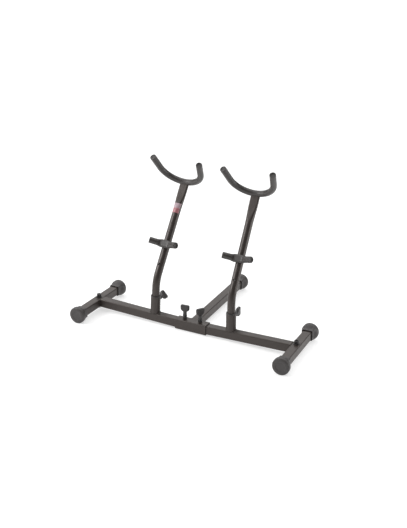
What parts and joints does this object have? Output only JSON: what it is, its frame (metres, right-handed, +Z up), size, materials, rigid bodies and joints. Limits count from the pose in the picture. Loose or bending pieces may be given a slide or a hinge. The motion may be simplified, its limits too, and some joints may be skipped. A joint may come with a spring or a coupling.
{
  "type": "saxophone stand",
  "caption": "Two-instrument floor stand: telescoping H base with rubber caps, leaning posts in sockets, each with a padded U fork and a V-shaped bell peg.",
  "frame": {"origin": "on the floor, under the middle of the stand's outline", "axes": "+X along the beam, to the right seen from the player's side; +Y to the rear, along the long middle leg; +Z up"},
  "size_m": [0.6698, 0.461, 0.4632],
  "materials": {
    "powder_coat": "satin black-grey powder coat with fine orange peel",
    "rubber": "matt moulded rubber",
    "hose": "soft PVC hose, satin",
    "black_plastic": "moulded black nylon, fine grain",
    "zinc": "bright zinc plate",
    "black_steel": "black oxide steel"
  },
  "bodies": {
    "centre_frame": {"center_sleeve": "powder_coat", "rear_leg": "powder_coat", "rear_leg_cap": "rubber", "left_sleeve_nut": "black_steel", "right_sleeve_nut": "black_steel"},
    "left_half": {"left_beam": "powder_coat", "left_beam_insert": "black_steel", "left_leg": "powder_coat", "left_front_cap": "rubber", "left_rear_cap": "rubber", "left_leg_bolt": "black_steel", "left_leg_washer": "black_steel", "left_leg_nut": "zinc", "left_socket": "powder_coat", "left_socket_bush": "black_plastic", "left_socket_nut": "black_steel"},
    "left_base_clamp": {"left_base_knob": "black_plastic", "left_base_screw": "black_steel"},
    "left_post_clamp": {"left_post_knob": "black_plastic", "left_post_screw": "black_steel"},
    "left_post_carrier": {"left_post_plug": "black_plastic"},
    "left_upright": {"left_post": "powder_coat", "left_fork_rod": "black_steel", "left_fork_hose": "hose", "left_fork_left_plug": "black_plastic", "left_fork_right_plug": "black_plastic", "left_peg_bar": "black_steel", "left_peg_hose": "hose", "left_peg_left_plug": "black_plastic", "left_peg_right_plug": "black_plastic", "left_peg_stud": "zinc"},
    "left_peg_nut": {"left_peg_wing_nut": "zinc"},
    "right_half": {"right_beam": "powder_coat", "right_beam_insert": "black_steel", "right_leg": "powder_coat", "right_front_cap": "rubber", "right_rear_cap": "rubber", "right_leg_bolt": "black_steel", "right_leg_washer": "black_steel", "right_leg_nut": "zinc", "right_socket": "powder_coat", "right_socket_bush": "black_plastic", "right_socket_nut": "black_steel"},
    "right_base_clamp": {"right_base_knob": "black_plastic", "right_base_screw": "black_steel"},
    "right_post_clamp": {"right_post_knob": "black_plastic", "right_post_screw": "black_steel"},
    "right_post_carrier": {"right_post_plug": "black_plastic"},
    "right_upright": {"right_post": "powder_coat", "right_fork_rod": "black_steel", "right_fork_hose": "hose", "right_fork_left_plug": "black_plastic", "right_fork_right_plug": "black_plastic", "right_peg_bar": "black_steel", "right_peg_hose": "hose", "right_peg_left_plug": "black_plastic", "right_peg_right_plug": "black_plastic", "right_peg_stud": "zinc"},
    "right_peg_nut": {"right_peg_wing_nut": "zinc"}
  },
  "joints": [
    {"name": "left_beam_slide", "type": "slide", "parent": "centre_frame", "child": "left_half", "axis": [-0.9997, 0, 0.0262], "range_m": [-0.003, 0.011]},
    {"name": "left_base_screw_turn", "type": "hinge", "parent": "centre_frame", "child": "left_base_clamp", "pos_m": [-0.024, -0.1125, 0.045], "axis": [0, 0, 1], "range_deg": [0, 720]},
    {"name": "left_post_screw_turn", "type": "hinge", "parent": "left_half", "child": "left_post_clamp", "pos_m": [-0.11821, -0.0925, 0.06697], "axis": [0, 1, 0], "range_deg": [0, 720]},
    {"name": "left_post_lift", "type": "slide", "parent": "left_half", "child": "left_post_carrier", "axis": [0.0262, 0, 0.9997], "range_m": [0, 0.02]},
    {"name": "left_post_swivel", "type": "hinge", "parent": "left_post_carrier", "child": "left_upright", "pos_m": [-0.11853, -0.1125, 0.05498], "axis": [0.0262, 0, 0.9997], "range_deg": [-15, 90]},
    {"name": "left_peg_nut_turn", "type": "hinge", "parent": "left_upright", "child": "left_peg_nut", "pos_m": [-0.11443, -0.04512, 0.21139], "axis": [-0.0141, 0.8434, -0.5371], "range_deg": [0, 720]},
    {"name": "right_beam_slide", "type": "slide", "parent": "centre_frame", "child": "right_half", "axis": [0.9997, 0, 0.0262], "range_m": [-0.003, 0.011]},
    {"name": "right_base_screw_turn", "type": "hinge", "parent": "centre_frame", "child": "right_base_clamp", "pos_m": [0.024, -0.1125, 0.045], "axis": [0, 0, 1], "range_deg": [0, 720]},
    {"name": "right_post_screw_turn", "type": "hinge", "parent": "right_half", "child": "right_post_clamp", "pos_m": [0.11821, -0.0925, 0.06697], "axis": [0, 1, 0], "range_deg": [0, 720]},
    {"name": "right_post_lift", "type": "slide", "parent": "right_half", "child": "right_post_carrier", "axis": [-0.0262, 0, 0.9997], "range_m": [0, 0.02]},
    {"name": "right_post_swivel", "type": "hinge", "parent": "right_post_carrier", "child": "right_upright", "pos_m": [0.11853, -0.1125, 0.05498], "axis": [-0.0262, 0, 0.9997], "range_deg": [-90, 15]},
    {"name": "right_peg_nut_turn", "type": "hinge", "parent": "right_upright", "child": "right_peg_nut", "pos_m": [0.11443, -0.04512, 0.21139], "axis": [0.0141, 0.8434, -0.5371], "range_deg": [0, 720]}
  ]
}
